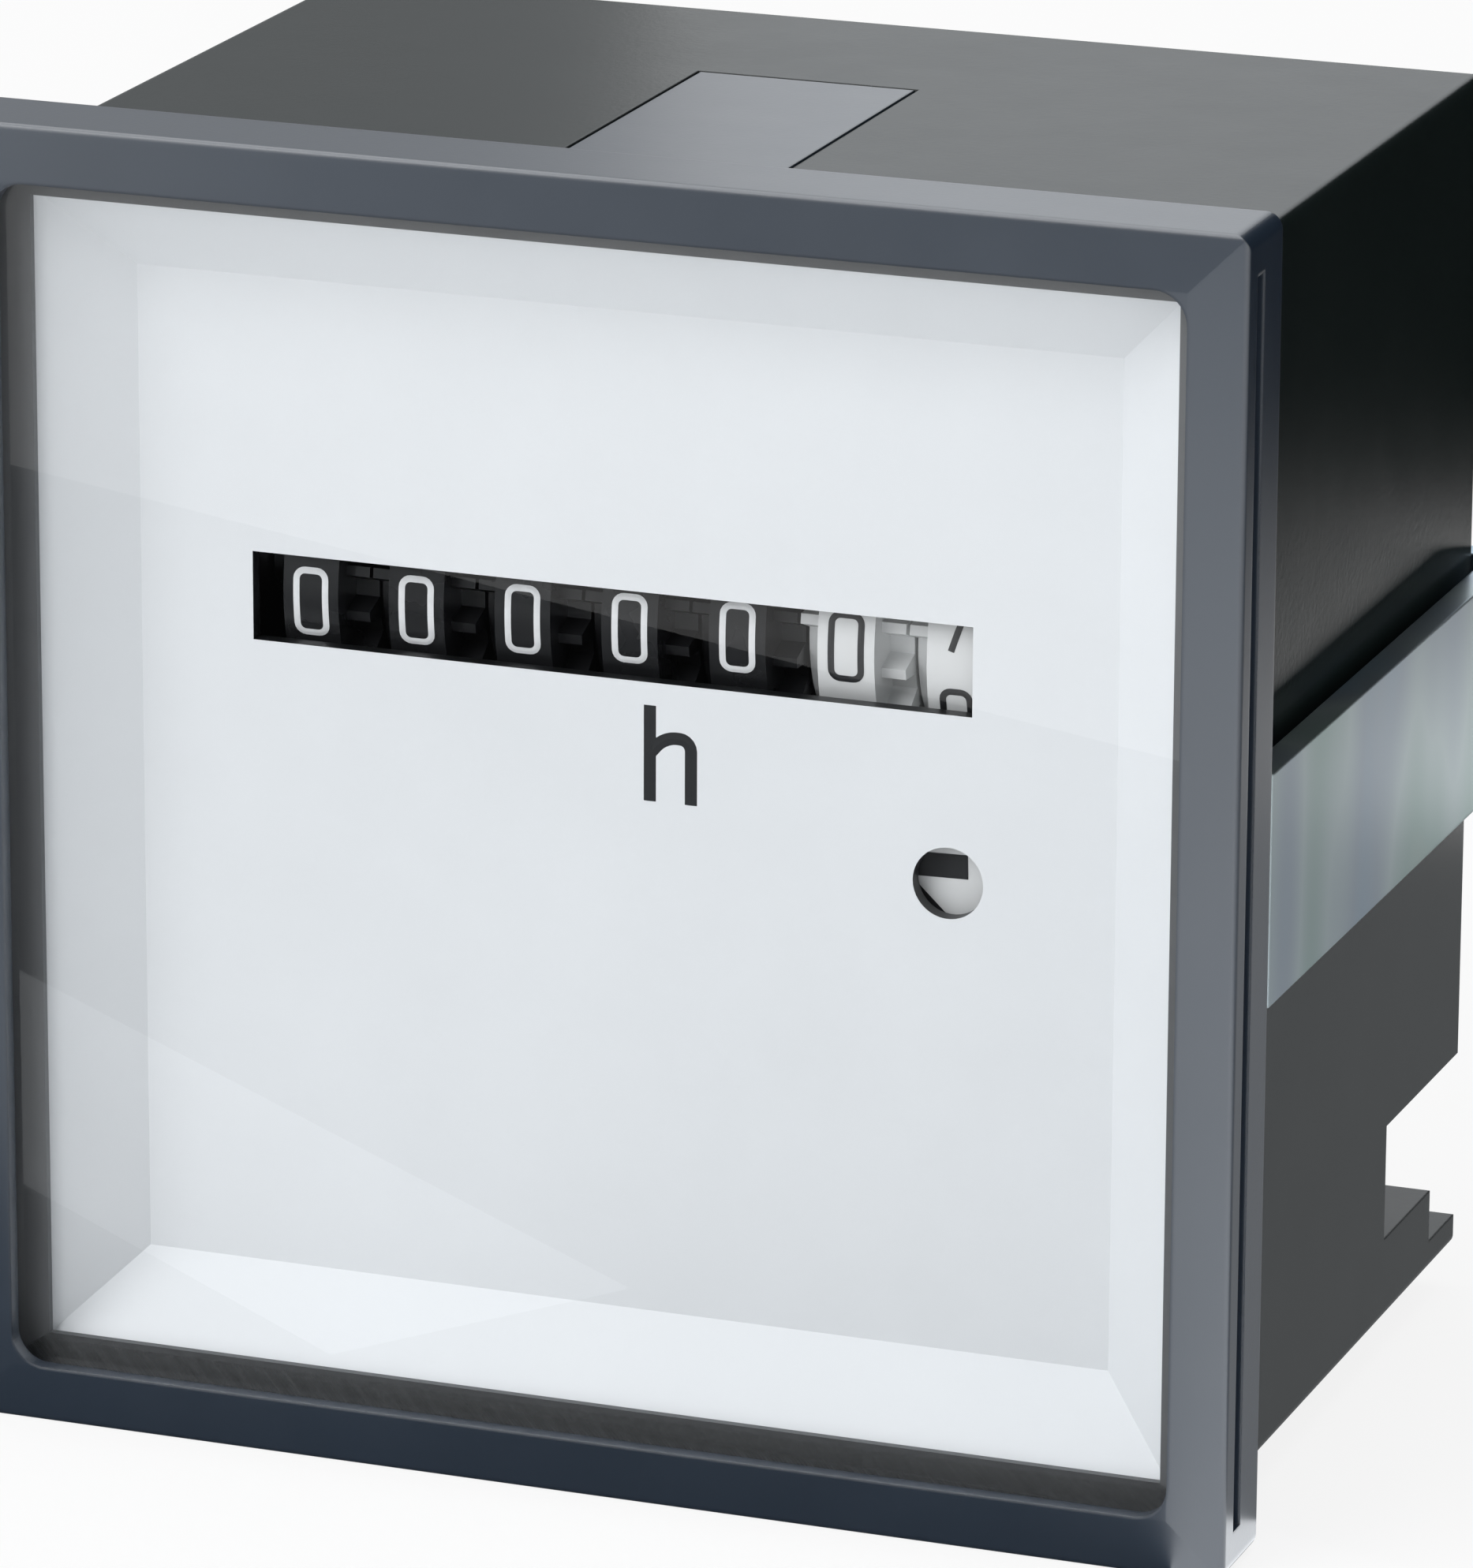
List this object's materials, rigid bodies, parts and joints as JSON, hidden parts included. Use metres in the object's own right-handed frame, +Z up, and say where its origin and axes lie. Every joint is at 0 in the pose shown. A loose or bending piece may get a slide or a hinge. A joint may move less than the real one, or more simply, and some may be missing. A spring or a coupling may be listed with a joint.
{
  "type": "hour meter",
  "caption": "Square panel-mounted hour meter with a sloped white dial, drum counter and running indicator, a motor-driven gear train inside and a screw-tightened clamp strap.",
  "frame": {"origin": "centre of the front frame's rear face, where the panel seats", "axes": "+X to the right seen from the front, +Y from the front into the panel, +Z up"},
  "size_m": [0.048, 0.0451, 0.048],
  "materials": {
    "frame_plastic": "satin moulded, slate grey",
    "clear_lens": "clear polished pane",
    "seal_rubber": "matt black seal",
    "white_dial": "smooth white",
    "housing_plastic": "fine moulded grain, near black",
    "plated_steel": "bright zinc plate with a faint blue tint",
    "screw_steel": "zinc-plated",
    "tab_metal": "tin-plated brass",
    "plate_steel": "rolled sheet",
    "gear_brass": "turned brass",
    "shaft_steel": "ground steel",
    "clip_steel": "blued spring steel",
    "black_wheel": "matt black, white figures",
    "white_wheel": "matt white, black figures",
    "pinion_plastic": "natural acetal",
    "indicator_white": "white with dark sectors",
    "rotor_plastic": "moulded hub",
    "magnet": "sintered ferrite",
    "stator_steel": "plated pressing",
    "bobbin_plastic": "moulded spool",
    "copper": "enamelled copper wire",
    "lead_insulation": "insulated stranded lead"
  },
  "bodies": {
    "body": {"bezel": "frame_plastic", "lens": "clear_lens", "seal_ring": "seal_rubber", "dial_tray": "white_dial", "housing": "housing_plastic", "terminal_left": "tab_metal", "terminal_right": "tab_metal", "movement_frame": "plate_steel", "rear_plate": "plate_steel", "plate_pillars": "gear_brass", "movement_screws": "shaft_steel", "register_shaft": "shaft_steel", "pinion_shaft": "shaft_steel", "shaft_clips": "clip_steel", "stator_front": "stator_steel", "stator_rear": "stator_steel", "bobbin": "bobbin_plastic", "winding": "copper", "motor_cap": "stator_steel", "rotor_bushes": "gear_brass", "motor_rivets": "shaft_steel", "lead_left": "lead_insulation", "lead_right": "lead_insulation"},
    "clamp_bracket": {"clamp_bracket": "plated_steel"},
    "clamp_screw": {"clamp_screw": "screw_steel"},
    "rotor": {"rotor_shaft": "shaft_steel", "rotor_hub": "rotor_plastic", "rotor_magnet": "magnet"},
    "first_arbor": {"first_arbor": "shaft_steel", "first_wheel": "gear_brass"},
    "second_arbor": {"second_arbor": "shaft_steel", "second_wheel": "gear_brass", "indicator_disc": "indicator_white"},
    "third_arbor": {"third_arbor": "shaft_steel", "third_wheel": "gear_brass"},
    "fourth_arbor": {"fourth_arbor": "shaft_steel", "fourth_wheel": "gear_brass"},
    "hundredths_wheel": {"hundredths_wheel": "white_wheel"},
    "tenths_wheel": {"tenths_wheel": "white_wheel"},
    "transfer_pinion_6": {"transfer_pinion_6": "pinion_plastic"},
    "units_wheel": {"units_wheel": "black_wheel"},
    "transfer_pinion_5": {"transfer_pinion_5": "pinion_plastic"},
    "tens_wheel": {"tens_wheel": "black_wheel"},
    "transfer_pinion_4": {"transfer_pinion_4": "pinion_plastic"},
    "hundreds_wheel": {"hundreds_wheel": "black_wheel"},
    "transfer_pinion_3": {"transfer_pinion_3": "pinion_plastic"},
    "thousands_wheel": {"thousands_wheel": "black_wheel"},
    "transfer_pinion_2": {"transfer_pinion_2": "pinion_plastic"},
    "ten_thousands_wheel": {"ten_thousands_wheel": "black_wheel"},
    "transfer_pinion_1": {"transfer_pinion_1": "pinion_plastic"}
  },
  "joints": [
    {"name": "clamp_screw_turn", "type": "hinge", "parent": "body", "child": "clamp_screw", "pos_m": [0, 0.03, 0], "axis": [0, -1, 0], "continuous": true},
    {"name": "clamp_slide", "type": "slide", "parent": "body", "child": "clamp_bracket", "axis": [0, 1, 0], "range_m": [0, 0.006]},
    {"name": "rotor_spin", "type": "hinge", "parent": "body", "child": "rotor", "pos_m": [0.00036, 0.022, 0.00147], "axis": [0, -1, 0], "continuous": true},
    {"name": "first_arbor_spin", "type": "hinge", "parent": "body", "child": "first_arbor", "pos_m": [0.00413, 0.018, -0.0008], "axis": [0, -1, 0], "continuous": true},
    {"name": "second_arbor_spin", "type": "hinge", "parent": "body", "child": "second_arbor", "pos_m": [0.00941, 0.018, -0.0008], "axis": [0, -1, 0], "continuous": true},
    {"name": "third_arbor_spin", "type": "hinge", "parent": "body", "child": "third_arbor", "pos_m": [0.01412, 0.018, 0.0016], "axis": [0, -1, 0], "continuous": true},
    {"name": "fourth_arbor_spin", "type": "hinge", "parent": "body", "child": "fourth_arbor", "pos_m": [0.01575, 0.018, 0.00662], "axis": [0, -1, 0], "continuous": true},
    {"name": "hundredths_wheel_spin", "type": "hinge", "parent": "body", "child": "hundredths_wheel", "pos_m": [0.01209, 0.00725, 0.00662], "axis": [-1, 0, 0], "continuous": true},
    {"name": "tenths_wheel_spin", "type": "hinge", "parent": "body", "child": "tenths_wheel", "pos_m": [0.00806, 0.00725, 0.00662], "axis": [-1, 0, 0], "continuous": true},
    {"name": "transfer_pinion_6_spin", "type": "hinge", "parent": "body", "child": "transfer_pinion_6", "pos_m": [0.01006, 0.00725, 0.01348], "axis": [-1, 0, 0], "continuous": true},
    {"name": "units_wheel_spin", "type": "hinge", "parent": "body", "child": "units_wheel", "pos_m": [0.00403, 0.00725, 0.00662], "axis": [-1, 0, 0], "continuous": true},
    {"name": "transfer_pinion_5_spin", "type": "hinge", "parent": "body", "child": "transfer_pinion_5", "pos_m": [0.00603, 0.00725, 0.01348], "axis": [-1, 0, 0], "continuous": true},
    {"name": "tens_wheel_spin", "type": "hinge", "parent": "body", "child": "tens_wheel", "pos_m": [0, 0.00725, 0.00662], "axis": [-1, 0, 0], "continuous": true},
    {"name": "transfer_pinion_4_spin", "type": "hinge", "parent": "body", "child": "transfer_pinion_4", "pos_m": [0.002, 0.00725, 0.01348], "axis": [-1, 0, 0], "continuous": true},
    {"name": "hundreds_wheel_spin", "type": "hinge", "parent": "body", "child": "hundreds_wheel", "pos_m": [-0.00403, 0.00725, 0.00662], "axis": [-1, 0, 0], "continuous": true},
    {"name": "transfer_pinion_3_spin", "type": "hinge", "parent": "body", "child": "transfer_pinion_3", "pos_m": [-0.00203, 0.00725, 0.01348], "axis": [-1, 0, 0], "continuous": true},
    {"name": "thousands_wheel_spin", "type": "hinge", "parent": "body", "child": "thousands_wheel", "pos_m": [-0.00806, 0.00725, 0.00662], "axis": [-1, 0, 0], "continuous": true},
    {"name": "transfer_pinion_2_spin", "type": "hinge", "parent": "body", "child": "transfer_pinion_2", "pos_m": [-0.00606, 0.00725, 0.01348], "axis": [-1, 0, 0], "continuous": true},
    {"name": "ten_thousands_wheel_spin", "type": "hinge", "parent": "body", "child": "ten_thousands_wheel", "pos_m": [-0.01209, 0.00725, 0.00662], "axis": [-1, 0, 0], "continuous": true},
    {"name": "transfer_pinion_1_spin", "type": "hinge", "parent": "body", "child": "transfer_pinion_1", "pos_m": [-0.01009, 0.00725, 0.01348], "axis": [-1, 0, 0], "continuous": true}
  ],
  "couplings": [
    {"joint": "clamp_screw_turn", "follows": "clamp_slide", "rad_per_m": 8976},
    {"joint": "first_arbor_spin", "follows": "rotor_spin", "ratio": -0.25},
    {"joint": "second_arbor_spin", "follows": "rotor_spin", "ratio": 0.05},
    {"joint": "third_arbor_spin", "follows": "rotor_spin", "ratio": -0.01},
    {"joint": "fourth_arbor_spin", "follows": "rotor_spin", "ratio": 0.002},
    {"joint": "hundredths_wheel_spin", "follows": "rotor_spin", "ratio": 0.00066667},
    {"joint": "tenths_wheel_spin", "follows": "rotor_spin", "ratio": 0.000066667},
    {"joint": "transfer_pinion_6_spin", "follows": "rotor_spin", "ratio": -0.00016667},
    {"joint": "units_wheel_spin", "follows": "rotor_spin", "ratio": 0.0000066667},
    {"joint": "transfer_pinion_5_spin", "follows": "rotor_spin", "ratio": -0.000016667},
    {"joint": "tens_wheel_spin", "follows": "rotor_spin", "ratio": 0.00000066667},
    {"joint": "transfer_pinion_4_spin", "follows": "rotor_spin", "ratio": -0.0000016667},
    {"joint": "hundreds_wheel_spin", "follows": "rotor_spin", "ratio": 0.000000066667},
    {"joint": "transfer_pinion_3_spin", "follows": "rotor_spin", "ratio": -0.00000016667},
    {"joint": "thousands_wheel_spin", "follows": "rotor_spin", "ratio": 0.0000000066667},
    {"joint": "transfer_pinion_2_spin", "follows": "rotor_spin", "ratio": -0.000000016667},
    {"joint": "ten_thousands_wheel_spin", "follows": "rotor_spin", "ratio": 0.00000000066667},
    {"joint": "transfer_pinion_1_spin", "follows": "rotor_spin", "ratio": -0.0000000016667}
  ]
}
